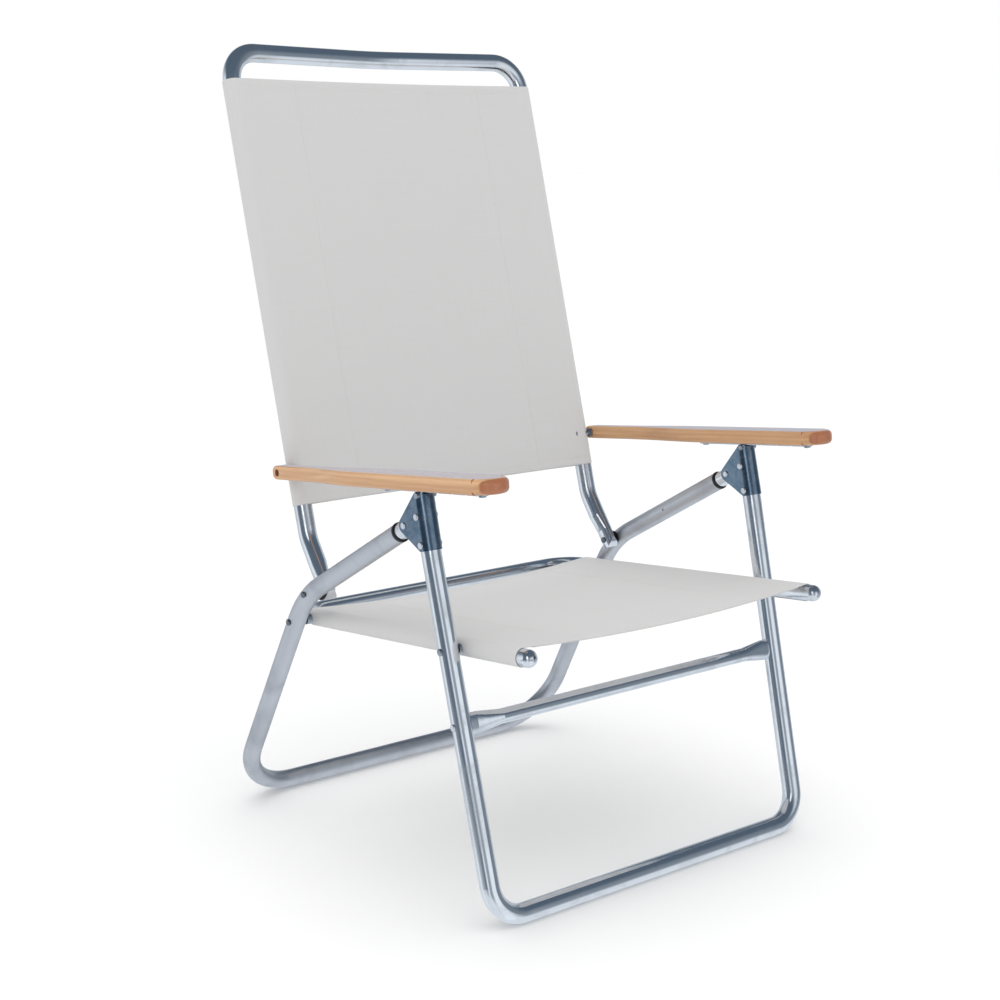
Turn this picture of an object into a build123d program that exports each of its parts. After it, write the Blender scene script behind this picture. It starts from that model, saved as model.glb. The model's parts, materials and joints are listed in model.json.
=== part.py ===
from build123d import *
import os
from math import cos, radians, sin, tan

# Folding high-back beach chair: bent aluminium tube frames, sling seat and back,
# hardwood armrests. Millimetres, +Z up, the chair faces -Y, X is across it.
# Places in the side view are (y, z) pairs, measured from the front ground bar's
# centre line (y) and from the floor (z). The finished pieces are shifted along Y
# at the end, so that the origin is on the floor under the middle of the chair.

# ---------------------------------------------------------------- driving sizes
TUBE_R = 12.7            # 25.4 mm tube of the leg frames and the back frame
TUBE_WALL = 1.2
RAIL_R = 11.1            # 22.2 mm tube of the seat frame and the slide tubes
RAIL_WALL = 1.2
BAR_R = 9.5              # 19 mm cross bar
BAR_WALL = 1.2

RUN = 0.05               # radial clearance of a turning or sliding fit
SNUG = 0.02              # radial clearance of a fixed fastener in its hole
TOUCH = 0.05             # gap between two faces that rest on each other

# front leg frame: a U, lying in a plane that leans back
FRONT_LEAN = 14.12       # degrees from vertical
FRONT_FOOT_X = 270.0     # half spacing of the legs at the ground bar
FRONT_TOP_X = 281.5      # half spacing at the bracket
FRONT_KINK = 455.0       # distance up the leg where it turns parallel
FRONT_TOP = 514.0        # distance up the leg where the tube ends
FRONT_KINK_R = 180.0
GROUND_BEND_R = 45.0

# rear leg frame: slide tube pivot, knee and ground bar in the side view
SLIDE_PIVOT = (150.4, 486.9)
KNEE = (404.0, 344.2)
REAR_FOOT = (585.5, TUBE_R)
REAR_TOP_X = FRONT_TOP_X
REAR_FOOT_X = 291.0
KNEE_R = 150.0
REAR_BEND_R = 88.0
TUBE_END = 31.5          # open end of the rear tube, along the slide from its pivot
GAUGE_HOLE = 148.0       # small hole in the inner wall of the rear tube, along the slide
GAUGE_HOLE_R = 1.8
RING_LENGTH = 4.0
RING_R = 13.2
RING_ROUND = 1.0
SLIDE_HEAD = 8.5         # slide tube beyond its pivot
SLIDE_LENGTH = 243.0     # slide tube inside the rear tube, from its pivot

# seat frame
SEAT_FRONT_PIVOT = (82.3, 340.0)
SEAT_REAR_PIVOT = (425.8, 305.0)
RAIL_X = 249.0
SEAT_OVERHANG = 118.0    # rail in front of the front pivot
SEAT_TAIL = 52.5         # rear bar's centre behind the rear pivot
SEAT_BEND_R = 45.0
TIP_LENGTH = 11.0
TIP_ROUND = 10.4
TIP_FLUTES = 3
TIP_FLUTE_R = 1.2

# back frame
BACK_PIVOT = (387.0, 351.7)
BACK_KNEE = (433.5, 416.5)
BACK_TOP = (616.2, 1073.7)
BACK_X = 255.9
BACK_KNEE_R = 55.0
BACK_BEND_R = 44.0
BACK_BOW = 20.0          # the top bar bows this far to the rear
BACK_BOW_R = 500.0
BACK_DIP = 3.0           # and its middle is this much lower than its corners
END_THICK = 20.0         # the lower ends are pressed to this thickness
END_ROUND = 40.6         # distance from the pivot where the tube is still round
END_FLAT = 15.2          # and where it is fully pressed
BACK_WASHER = 1.0

# armrests
ARM_PIVOT = (449.0, 509.7)
ARM_SLOPE = 6.16         # degrees, front end higher
ARM_THICK = 19.0
ARM_REACH = 451.0        # pivot to the centre of the rounded front end
ARM_TAIL = 13.0          # wood behind the pivot
ARM_NOSE_R = 24.5
ARM_X = 280.5            # centre line of the front half
ARM_REAR_IN = 272.5      # inner and outer faces of the narrow rear end
ARM_REAR_OUT = 294.0
ARM_IN_SWELL = (60.0, 290.0)    # along the arm, where each face runs out to full width
ARM_OUT_SWELL = (45.0, 210.0)
ARM_ROUND = 3.0
NOSE_ROUND = 6.5         # edges of the round front end
ARM_TAIL_ROUND = 8.0
COUNTERBORE = 5.0        # depth of the pocket round the pivot bolt's head
COUNTERBORE_R = 5.0
RACK_THICK = 3.2
RACK_WIDTH = 14.0
RACK_START = 236.0       # along the arm from its pivot
RACK_END = 446.0
NOTCH_R = 2.5
NOTCHES = (325.6, 358.3, 388.3, 415.0)
ARM_SCREWS = (245.0, 439.0)
SCREW_DEPTH = 13.0       # into the wood
SCREW_HEAD = 2.2
SCREW_ROUND = 1.4
SCREW_SPARE = 0.5        # hole beyond the screw's tip

# brackets, in the front leg's own plane: (up the leg, behind its centre line)
SHEET = 1.5
BRACKET_FOOT = 462.0
BRACKET_FLAP_TOP = 516.0
CATCH_PIN = (530.0, -6.0)
CATCH_R = 3.5
CATCH_LOBE = 5.2
CATCH_PROUD = 0.4        # the pin stands out this far from either ear
EAR_LOBE = 9.5
EAR_TIP = (529.0, -10.6)  # front upper corner of each ear
EAR_TIP_R = 3.2
BRACKET_RIVETS = (469.7, 504.7)

# cross bar and fasteners
CROSS_BAR_UP = 244.0     # up the front leg
PINCH_LENGTH = 48.0       # from the leg to where the bar is round
PINCH_FLAT = 9.6         # and from the leg to where it is fully pressed
PINCH_TALL = 14.0
PINCH_THIN = 5.5
BOLT_R = 3.0
RIVET_R = 2.5
HEAD_R = 4.6
HEAD_THICK = 1.8
HEAD_ROUND = 1.44
COLLAR_GAP = 0.6         # between the seat's front sleeves and their collars
SEAT_BOLT_PROUD = 1.6    # the splayed rear leg stands out this far at the seat's rear bolt
BACK_BOLT_PROUD = 0.8    # and this far at the back's bolt
COLLAR_R = 6.6
SEAT_WASHER_R = 7.5
ARM_WASHER_R = 6.5
BACK_WASHER_R = 11.7

# slings
CLOTH = 1.1
SLEEVE_GAP = 0.1
POCKET = 97.0                   # from a tube's centre line to the seam of its pocket
CLOTH_HOLE_R = 5.6
MOUTH = 85.0                    # the seat's pockets have no back ply this far from the front edge
SEAT_CLOTH = (9.0, 469.5)       # along the rail from its front end
BACK_CLOTH = (460.7, 1029.0)    # heights of its lower and upper edges

# ---------------------------------------------------------------- derived sizes
LEAN = radians(FRONT_LEAN)


def on_leg(up, behind=0.0):
    """Side-view place of a point given up the front leg and behind its centre line."""
    return (up * sin(LEAN) + behind * cos(LEAN), TUBE_R + up * cos(LEAN) - behind * sin(LEAN))


def direction(start, end):
    """Unit direction from one side-view place to another, as a vector."""
    return (Vector(0, *end) - Vector(0, *start)).normalized()


SLIDE_DIR = direction(SLIDE_PIVOT, KNEE)
SEAT_DIR = direction(SEAT_FRONT_PIVOT, SEAT_REAR_PIVOT)
BACK_DIR = direction(BACK_KNEE, BACK_TOP)
ARM_DIR = Vector(0, -cos(radians(ARM_SLOPE)), sin(radians(ARM_SLOPE)))
ARM_UP = Vector(0, sin(radians(ARM_SLOPE)), cos(radians(ARM_SLOPE)))


def at(x, place, along=None, distance=0.0):
    """3-D point at x over a side-view place, moved a distance along a direction."""
    point = Vector(x, *place)
    return point + along * distance if along else point


SEAT_FRONT_END = at(0, SEAT_FRONT_PIVOT, SEAT_DIR, -SEAT_OVERHANG)


# ---------------------------------------------------------------- shape helpers
def bent_path(points, radii):
    """Wire through the points, with an arc of the given radius at each inner one."""
    points = [Vector(p) for p in points]
    edges = []
    start = points[0]
    for before, corner, after, radius in zip(points, points[1:], points[2:], radii):
        way_in = (corner - before).normalized()
        way_out = (after - corner).normalized()
        half_turn = radians(way_in.get_angle(way_out)) / 2
        trim = radius * tan(half_turn)
        arc_start = corner - way_in * trim
        arc_end = corner + way_out * trim
        middle = corner + (way_out - way_in).normalized() * (radius / cos(half_turn) - radius)
        edges += [Line(start, arc_start), ThreePointArc(arc_start, middle, arc_end)]
        start = arc_end
    edges.append(Line(start, points[-1]))
    return Wire(edges)


def rod_along(path, radius):
    """Solid round rod along a wire."""
    section = Plane(origin=path @ 0, z_dir=path % 0) * Circle(radius)
    return sweep(section, path=path)


def tube_along(path, radius, wall):
    """Hollow round tube along a wire."""
    return rod_along(path, radius) - rod_along(path, radius - wall)


def straight_rod(start, end, radius):
    """Solid round rod between two points."""
    span = Vector(end) - Vector(start)
    section = Plane(origin=start, z_dir=span.normalized()) * Circle(radius)
    return extrude(section, amount=span.length)


def cross_rod(x_start, x_end, place, radius):
    """Round rod along X over a side-view place."""
    return straight_rod(at(x_start, place), at(x_end, place), radius)


def domed_head(x_seat, place, outward):
    """Low domed head whose flat side is at x_seat and whose dome faces outward (+1 or -1)."""
    disc = cross_rod(x_seat, x_seat + outward * HEAD_THICK, place, HEAD_R)
    rim = disc.edges().group_by(Axis.X)[-1 if outward > 0 else 0]
    return fillet(rim, HEAD_ROUND)


def both_sides(piece):
    """The piece and its mirror image on the other side of the chair, as one group."""
    return Compound(children=[*piece.solids(), *mirror(piece, about=Plane.YZ).solids()])


def other_side(piece):
    return mirror(piece, about=Plane.YZ)


LEG_FLARE = (FRONT_TOP_X - FRONT_FOOT_X) / FRONT_KINK


def leg_x(up):
    """Half spacing of the front legs' centre lines at a distance up the leg."""
    return FRONT_FOOT_X + LEG_FLARE * min(up, FRONT_KINK)


def headed_pin(x_in, x_out, place, radius, heads=(True, True)):
    """Pin along X with a domed head at either end, outside x_in and x_out."""
    pin = cross_rod(x_in, x_out, place, radius)
    if heads[0]:
        pin += domed_head(x_in, place, -1)
    if heads[1]:
        pin += domed_head(x_out, place, 1)
    return pin


# ---------------------------------------------------------------- front leg frame
def make_front_leg_frame():
    corners = [(FRONT_TOP_X, FRONT_TOP), (FRONT_TOP_X, FRONT_KINK), (FRONT_FOOT_X, 0)]
    corners += [(-x, up) for x, up in reversed(corners)]
    points = [at(x, on_leg(up)) for x, up in corners]
    path = bent_path(points, [FRONT_KINK_R, GROUND_BEND_R, GROUND_BEND_R, FRONT_KINK_R])
    frame = tube_along(path, TUBE_R, TUBE_WALL)
    reach = FRONT_TOP_X + 2 * TUBE_R
    for up in BRACKET_RIVETS:
        frame -= both_sides(cross_rod(RAIL_X, reach, on_leg(up), RIVET_R + SNUG))
    frame -= both_sides(cross_rod(RAIL_X, reach, on_leg(CROSS_BAR_UP), RIVET_R + SNUG))
    frame -= both_sides(cross_rod(RAIL_X, reach, SEAT_FRONT_PIVOT, BOLT_R + SNUG))
    return frame


def make_cross_bar():
    place = on_leg(CROSS_BAR_UP)
    leg_line = leg_x(CROSS_BAR_UP)
    x_round = leg_line - TUBE_R - PINCH_LENGTH
    bar = cross_rod(-x_round, x_round, place, BAR_R)
    bar -= cross_rod(-x_round, x_round, place, BAR_R - BAR_WALL)
    round_face = Plane(origin=at(x_round, place), x_dir=Vector(0, cos(LEAN), -sin(LEAN)), z_dir=(1, 0, 0))
    oval = round_face.offset(PINCH_LENGTH - PINCH_FLAT) * Ellipse(PINCH_THIN, PINCH_TALL)
    pinch = loft([round_face * Circle(BAR_R), oval])
    pinch += extrude(oval, amount=PINCH_FLAT + TUBE_R * 0.8)
    foot = at(FRONT_FOOT_X, on_leg(0))
    kink = at(FRONT_TOP_X, on_leg(FRONT_KINK))
    pinch -= straight_rod(foot, kink, TUBE_R + TOUCH)
    pinch -= cross_rod(x_round - TUBE_R, leg_line, place, RIVET_R + SNUG)
    pinch = pinch.solids().sort_by(Axis.X)[0]
    return bar + pinch + other_side(pinch)


def make_cross_bar_rivets():
    place = on_leg(CROSS_BAR_UP)
    leg_line = leg_x(CROSS_BAR_UP)
    x_in = leg_line - TUBE_R - PINCH_LENGTH / 2
    x_out = leg_line + TUBE_R + TOUCH + LEG_FLARE * HEAD_R
    return both_sides(headed_pin(x_in, x_out, place, RIVET_R, (False, True)))


def make_bracket():
    """Zinc-plated sheet folded round the front of the leg, with two ears to the rear."""
    ear = direction(on_leg(0), on_leg(1))
    rearward = direction(on_leg(0), on_leg(0, 1))
    section = Plane(origin=at(FRONT_TOP_X, on_leg(BRACKET_FOOT - TUBE_R)), x_dir=(1, 0, 0), z_dir=ear)
    behind = 1 if section.y_dir.dot(rearward) > 0 else -1
    inner = TUBE_R + TOUCH
    outer = inner + SHEET
    depth = 4 * TUBE_R
    channel = Circle(outer) + Pos(0, behind * depth / 2) * Rectangle(2 * outer, depth)
    channel -= Circle(inner) + Pos(0, behind * depth) * Rectangle(2 * inner, 2 * depth)
    strip = extrude(section * channel, amount=2 * depth)
    side = Plane(origin=at(FRONT_TOP_X - 2 * TUBE_R, on_leg(0)), x_dir=ear, z_dir=(1, 0, 0))
    rear_sign = 1 if side.y_dir.dot(rearward) > 0 else -1
    pivot = side.to_local_coords(at(FRONT_TOP_X, SLIDE_PIVOT))
    front = rear_sign * -(outer + 1)
    outline = [
        Pos(pivot.X, pivot.Y) * Edge.make_circle(EAR_LOBE),
        Pos(CATCH_PIN[0], rear_sign * CATCH_PIN[1]) * Edge.make_circle(CATCH_LOBE),
        Pos(EAR_TIP[0], rear_sign * EAR_TIP[1]) * Edge.make_circle(EAR_TIP_R),
        Edge.make_line((BRACKET_FOOT, front), (BRACKET_FOOT, rear_sign * RIVET_R)),
        Edge.make_line((BRACKET_FLAP_TOP, front), (BRACKET_FOOT, front)),
    ]
    profile = extrude(side * make_hull(outline), amount=4 * TUBE_R)
    bracket = strip & profile
    low, high = FRONT_TOP_X - 2 * TUBE_R, FRONT_TOP_X + 2 * TUBE_R
    for up in BRACKET_RIVETS:
        bracket -= cross_rod(low, high, on_leg(up), RIVET_R + SNUG)
    bracket -= cross_rod(low, high, SLIDE_PIVOT, BOLT_R + SNUG)
    bracket -= cross_rod(low, high, on_leg(*CATCH_PIN), CATCH_R + SNUG)
    return bracket


EAR_IN = FRONT_TOP_X - TUBE_R - TOUCH - SHEET
EAR_OUT = FRONT_TOP_X + TUBE_R + TOUCH + SHEET


def make_bracket_rivets():
    rivets = [headed_pin(EAR_IN, EAR_OUT, on_leg(up), RIVET_R) for up in BRACKET_RIVETS]
    return both_sides(Compound(children=[solid for rivet in rivets for solid in rivet.solids()]))


def make_slide_pivot_rivets():
    return both_sides(headed_pin(EAR_IN, EAR_OUT, SLIDE_PIVOT, BOLT_R))


def make_arm_catch_pins():
    """Cross pins on top of the brackets, which the armrests' racks sit over."""
    place = on_leg(*CATCH_PIN)
    return both_sides(cross_rod(EAR_IN - CATCH_PROUD, EAR_OUT + CATCH_PROUD, place, CATCH_R))


def make_seat_front_pivots():
    """Bolt through each front leg, with a collar that stops just short of the seat sleeve."""
    up = (SEAT_FRONT_PIVOT[1] - TUBE_R) / cos(LEAN)
    inner_face = leg_x(up) - TUBE_R - TOUCH - LEG_FLARE * COLLAR_R
    outer_face = leg_x(up) + TUBE_R + TOUCH + LEG_FLARE * HEAD_R
    collar_end = RAIL_X + RAIL_R + SLEEVE_GAP + CLOTH + COLLAR_GAP
    bolt = headed_pin(collar_end, outer_face, SEAT_FRONT_PIVOT, BOLT_R, (False, True))
    bolt += cross_rod(collar_end, inner_face, SEAT_FRONT_PIVOT, COLLAR_R)
    return both_sides(bolt)


# ---------------------------------------------------------------- rear leg frame
def make_rear_leg_frame():
    half = [
        at(REAR_TOP_X, SLIDE_PIVOT, SLIDE_DIR, TUBE_END),
        at(REAR_TOP_X, KNEE),
        at(REAR_FOOT_X, REAR_FOOT),
    ]
    points = half + [Vector(-p.X, p.Y, p.Z) for p in reversed(half)]
    path = bent_path(points, [KNEE_R, REAR_BEND_R, REAR_BEND_R, KNEE_R])
    frame = tube_along(path, TUBE_R, TUBE_WALL)
    reach = REAR_TOP_X + 2 * TUBE_R
    frame -= both_sides(cross_rod(RAIL_X, reach, BACK_PIVOT, BOLT_R + RUN))
    frame -= both_sides(cross_rod(RAIL_X, reach, SEAT_REAR_PIVOT, BOLT_R + SNUG))
    hole = at(0, SLIDE_PIVOT, SLIDE_DIR, GAUGE_HOLE)
    return frame - both_sides(cross_rod(RAIL_X, REAR_TOP_X - TUBE_R / 2, (hole.Y, hole.Z), GAUGE_HOLE_R))


def make_tube_end_rings():
    """Black rings that close the rear tubes and guide the slide tubes."""
    start = at(REAR_TOP_X, SLIDE_PIVOT, SLIDE_DIR, TUBE_END - TOUCH - RING_LENGTH)
    end = at(REAR_TOP_X, SLIDE_PIVOT, SLIDE_DIR, TUBE_END - TOUCH)
    ring = straight_rod(start, end, RING_R)
    ring = fillet(ring.edges().filter_by(GeomType.CIRCLE), RING_ROUND)
    return both_sides(ring - straight_rod(start, end, RAIL_R + RUN))


def make_slide_tube():
    start = at(REAR_TOP_X, SLIDE_PIVOT, SLIDE_DIR, -SLIDE_HEAD)
    end = at(REAR_TOP_X, SLIDE_PIVOT, SLIDE_DIR, SLIDE_LENGTH)
    tube = straight_rod(start, end, RAIL_R) - straight_rod(start, end, RAIL_R - RAIL_WALL)
    return tube - cross_rod(RAIL_X, REAR_TOP_X + 2 * TUBE_R, SLIDE_PIVOT, BOLT_R + RUN)


REAR_LEG_IN = REAR_TOP_X - TUBE_R
WASHER_IN = RAIL_X + RAIL_R + SLEEVE_GAP + CLOTH + TOUCH


def make_seat_rear_pivots():
    """Bolts that hold the seat frame to the rear legs, with a nut inside the rail."""
    outer = REAR_LEG_IN + 2 * TUBE_R + SEAT_BOLT_PROUD
    inner = RAIL_X - RAIL_R - TOUCH
    return both_sides(headed_pin(inner, outer, SEAT_REAR_PIVOT, BOLT_R))


def make_seat_pivot_washers():
    disc = cross_rod(WASHER_IN, REAR_LEG_IN - TOUCH, SEAT_REAR_PIVOT, SEAT_WASHER_R)
    return both_sides(disc - cross_rod(RAIL_X, REAR_TOP_X, SEAT_REAR_PIVOT, BOLT_R + SNUG))


# ---------------------------------------------------------------- seat
def make_rail_tip():
    """Front end of a rail, crimped into a blunt fluted point."""
    end = SEAT_FRONT_END + Vector(RAIL_X, 0, 0)
    plug = straight_rod(end, end - SEAT_DIR * TIP_LENGTH, RAIL_R)
    rim = plug.edges().filter_by(GeomType.CIRCLE).sort_by(Axis.Y)[0]
    plug = fillet(rim, TIP_ROUND)
    outward = Plane(origin=end, x_dir=(1, 0, 0), z_dir=-SEAT_DIR)
    for k in range(TIP_FLUTES):
        turn = 360 * k / TIP_FLUTES
        flute_start = outward.from_local_coords(Vector(RAIL_R + TIP_FLUTE_R, 0, 0).rotate(Axis.Z, turn))
        flute_end = outward.from_local_coords(Vector(TIP_FLUTE_R, 0, TIP_LENGTH + TIP_FLUTE_R).rotate(Axis.Z, turn))
        plug -= straight_rod(flute_start, flute_end, TIP_FLUTE_R)
    return plug


def make_seat_frame():
    corner = SEAT_OVERHANG + (Vector(0, *SEAT_REAR_PIVOT) - Vector(0, *SEAT_FRONT_PIVOT)).length + SEAT_TAIL
    front, rear = SEAT_FRONT_END, SEAT_FRONT_END + SEAT_DIR * corner
    points = [front + Vector(RAIL_X, 0, 0), rear + Vector(RAIL_X, 0, 0)]
    points += [rear - Vector(RAIL_X, 0, 0), front - Vector(RAIL_X, 0, 0)]
    frame = tube_along(bent_path(points, [SEAT_BEND_R, SEAT_BEND_R]), RAIL_R, RAIL_WALL)
    tip = make_rail_tip()
    frame = frame + tip + other_side(tip)
    for pivot in (SEAT_REAR_PIVOT, SEAT_FRONT_PIVOT):
        frame -= both_sides(cross_rod(RAIL_X - 2 * RAIL_R, RAIL_X + 2 * RAIL_R, pivot, BOLT_R + RUN))
    return frame


def pocket_outline(x_tube, radius, seam_line):
    """Round a tube at x_tube and out to a short line at the seam, as one closed outline."""
    return make_hull([Pos(x_tube, 0) * Edge.make_circle(radius), Edge.make_line(*seam_line)])


def sling(start, end, x_tube, tube_r):
    """Cloth with a pocket round each of two parallel tubes and a flat panel tangent to them.

    The section's +y side is the hidden side: the panel lies on -y, and the pocket's back ply
    runs from behind the tube to a seam POCKET away from it.
    """
    inner, outer = tube_r + SLEEVE_GAP, tube_r + SLEEVE_GAP + CLOTH
    x_seam = x_tube - POCKET
    x_hollow = x_seam + CLOTH * POCKET / tube_r    # where the two plies part
    pocket = pocket_outline(x_tube, outer, ((x_seam, -outer), (x_seam, -inner)))
    hollow = pocket_outline(x_tube, inner, ((x_hollow, -inner), (x_hollow + CLOTH, -inner)))
    section = Pos(0, -inner - CLOTH / 2) * Rectangle(2 * x_tube, CLOTH)
    section += [pocket, mirror(pocket, about=Plane.YZ)]
    section -= [hollow, mirror(hollow, about=Plane.YZ)]
    along = end - start
    return extrude(Plane(origin=start, x_dir=(1, 0, 0), z_dir=along.normalized()) * section, amount=along.length)


def make_seat_sling():
    start = SEAT_FRONT_END + SEAT_DIR * SEAT_CLOTH[0]
    end = SEAT_FRONT_END + SEAT_DIR * SEAT_CLOTH[1]
    cloth = sling(start, end, RAIL_X, RAIL_R)
    down = SEAT_DIR.cross(Vector(1, 0, 0))
    down = down if down.Z < 0 else -down
    opening = Plane(origin=start, x_dir=(1, 0, 0), z_dir=-down) * Rectangle(2 * RAIL_X, 2 * MOUTH)
    cloth -= extrude(opening, amount=-2 * RAIL_R) + extrude(opening, amount=RAIL_R)
    for pivot in (SEAT_REAR_PIVOT, SEAT_FRONT_PIVOT):
        cloth -= both_sides(cross_rod(RAIL_X - 2 * RAIL_R, RAIL_X + 2 * RAIL_R, pivot, CLOTH_HOLE_R))
    return cloth


# ---------------------------------------------------------------- back
def make_back_frame():
    """Inverted U of tube with a bowed top bar, its lower ends bent forward and pressed oval."""
    low_dir = direction(BACK_KNEE, BACK_PIVOT)
    flat_start = at(BACK_X, BACK_PIVOT, low_dir, -END_ROUND)
    middle = Vector(0, BACK_TOP[0] + BACK_BOW, BACK_TOP[1] - BACK_DIP)
    shoulder = at(BACK_X, BACK_TOP)
    half = [flat_start, at(BACK_X, BACK_KNEE), shoulder]
    left = [Vector(-p.X, p.Y, p.Z) for p in reversed(half)]
    path = bent_path(half + [middle] + left, [BACK_KNEE_R, BACK_BEND_R, BACK_BOW_R, BACK_BEND_R, BACK_KNEE_R])
    frame = tube_along(path, TUBE_R, TUBE_WALL)
    # pressed ends: the round tube runs down into an oval one with a rounded end
    x_flat = REAR_LEG_IN - BACK_WASHER - 2 * TOUCH - END_THICK / 2
    tongue_plane = Plane(origin=flat_start, x_dir=(1, 0, 0), z_dir=low_dir)
    flat_plane = Plane(origin=at(x_flat, BACK_PIVOT, low_dir, -END_FLAT), x_dir=(1, 0, 0), z_dir=low_dir)
    oval = flat_plane * Ellipse(END_THICK / 2, TUBE_R)
    tongue = loft([tongue_plane * Circle(TUBE_R), oval])
    tongue += extrude(oval, amount=END_FLAT + TUBE_R)
    rounding = cross_rod(RAIL_X - TUBE_R, REAR_TOP_X, BACK_PIVOT, TUBE_R)
    keep_up = straight_rod(at(x_flat, BACK_PIVOT), at(x_flat, BACK_PIVOT, low_dir, -2 * END_ROUND), 2 * TUBE_R)
    tongue = tongue & (rounding + keep_up)
    tongue -= cross_rod(RAIL_X - TUBE_R, REAR_TOP_X, BACK_PIVOT, BOLT_R + RUN)
    frame = frame + tongue + other_side(tongue)
    return frame - both_sides(cross_rod(BACK_X - 2 * TUBE_R, BACK_X + 2 * TUBE_R, ARM_PIVOT, BOLT_R + RUN))


def make_back_pivot_bolts():
    inner = REAR_LEG_IN - BACK_WASHER - 3 * TOUCH - END_THICK
    outer = REAR_LEG_IN + 2 * TUBE_R + BACK_BOLT_PROUD
    return both_sides(headed_pin(inner, outer, BACK_PIVOT, BOLT_R))


def make_back_pivot_washers():
    """Thin black washers between the back frame's pressed ends and the rear legs."""
    disc = cross_rod(REAR_LEG_IN - TOUCH - BACK_WASHER, REAR_LEG_IN - TOUCH, BACK_PIVOT, BACK_WASHER_R)
    return both_sides(disc - cross_rod(RAIL_X, REAR_TOP_X, BACK_PIVOT, BOLT_R + SNUG))


def back_line(z):
    """Point on the centre plane where the back tubes' straight run is at height z."""
    step = (z - BACK_KNEE[1]) / BACK_DIR.Z
    return at(0, BACK_KNEE, BACK_DIR, step)


def make_back_sling():
    cloth = sling(back_line(BACK_CLOTH[0]), back_line(BACK_CLOTH[1]), BACK_X, TUBE_R)
    return cloth - both_sides(cross_rod(BACK_X - 2 * TUBE_R, BACK_X + 2 * TUBE_R, ARM_PIVOT, CLOTH_HOLE_R))


SLEEVE_OUT = BACK_X + TUBE_R + SLEEVE_GAP + CLOTH


def make_arm_pivot_washers():
    disc = cross_rod(SLEEVE_OUT + TOUCH, ARM_REAR_IN - TOUCH, ARM_PIVOT, ARM_WASHER_R)
    return both_sides(disc - cross_rod(BACK_X, ARM_X + ARM_NOSE_R, ARM_PIVOT, BOLT_R + SNUG))


# ---------------------------------------------------------------- armrests
def arm_point(x, along, up=0.0):
    return at(x, ARM_PIVOT) + ARM_DIR * along + ARM_UP * up


def make_arm_pivot_bolt():
    inner = BACK_X - TUBE_R - TOUCH
    outer = ARM_REAR_OUT - COUNTERBORE
    return headed_pin(inner, outer, ARM_PIVOT, BOLT_R)


def swell(start, end):
    """Curve that leaves one straight side and joins the next, tangent to the arm at both ends."""
    reach = (end[1] - start[1]) / 2
    return Edge.make_bezier(start, (start[0], start[1] + reach), (end[0], end[1] - reach), end)


def make_armrest():
    """Hardwood armrest: a narrow rear end that swells to a wide, round-nosed front."""
    plan = Plane(origin=arm_point(0, 0, -ARM_THICK / 2), x_dir=(1, 0, 0), z_dir=ARM_UP)
    sign = 1 if plan.y_dir.dot(ARM_DIR) > 0 else -1
    x_in, x_out = ARM_X - ARM_NOSE_R, ARM_X + ARM_NOSE_R

    def spot(x, along):
        return (x, sign * along)

    in_start, in_end = ARM_IN_SWELL
    out_start, out_end = ARM_OUT_SWELL
    outline = [
        Edge.make_line(spot(ARM_REAR_IN, -ARM_TAIL), spot(ARM_REAR_IN, in_start)),
        swell(spot(ARM_REAR_IN, in_start), spot(x_in, in_end)),
        Edge.make_line(spot(x_in, in_end), spot(x_in, ARM_REACH)),
        Edge.make_three_point_arc(spot(x_in, ARM_REACH), spot(ARM_X, ARM_REACH + ARM_NOSE_R), spot(x_out, ARM_REACH)),
        Edge.make_line(spot(x_out, ARM_REACH), spot(x_out, out_end)),
        swell(spot(x_out, out_end), spot(ARM_REAR_OUT, out_start)),
        Edge.make_line(spot(ARM_REAR_OUT, out_start), spot(ARM_REAR_OUT, -ARM_TAIL)),
        Edge.make_line(spot(ARM_REAR_OUT, -ARM_TAIL), spot(ARM_REAR_IN, -ARM_TAIL)),
    ]
    wood = extrude(plan * make_face(Wire(outline)), amount=ARM_THICK)
    tail_edges = wood.edges().filter_by(Axis.X).sort_by(Axis.Y)[-2:]
    wood = fillet(tail_edges, ARM_TAIL_ROUND)
    sharp = [e for e in wood.edges() if abs((e % 0.2).X) < 0.98 and abs((e % 0.2).dot(ARM_UP)) < 0.98]
    wood = fillet(sharp, ARM_ROUND)
    nose_plan = plan * Pos(*spot(ARM_X, ARM_REACH))
    nose = extrude(nose_plan * Circle(ARM_NOSE_R), amount=ARM_THICK)
    nose = fillet(nose.edges().filter_by(GeomType.CIRCLE), NOSE_ROUND)
    front_zone = Pos(0, sign * ARM_NOSE_R) * Rectangle(4 * ARM_NOSE_R, 2 * ARM_NOSE_R)
    wood -= extrude(nose_plan * front_zone, amount=ARM_THICK) - nose
    wood -= cross_rod(BACK_X, ARM_X + 2 * ARM_NOSE_R, ARM_PIVOT, BOLT_R + RUN)
    wood -= cross_rod(ARM_REAR_OUT - COUNTERBORE, ARM_X + 2 * ARM_NOSE_R, ARM_PIVOT, COUNTERBORE_R)
    for along in ARM_SCREWS:
        start = arm_point(ARM_X, along, -ARM_THICK)
        hole_end = arm_point(ARM_X, along, SCREW_DEPTH + SCREW_SPARE - ARM_THICK / 2)
        wood -= straight_rod(start, hole_end, RIVET_R + SNUG)
    return wood


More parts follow.
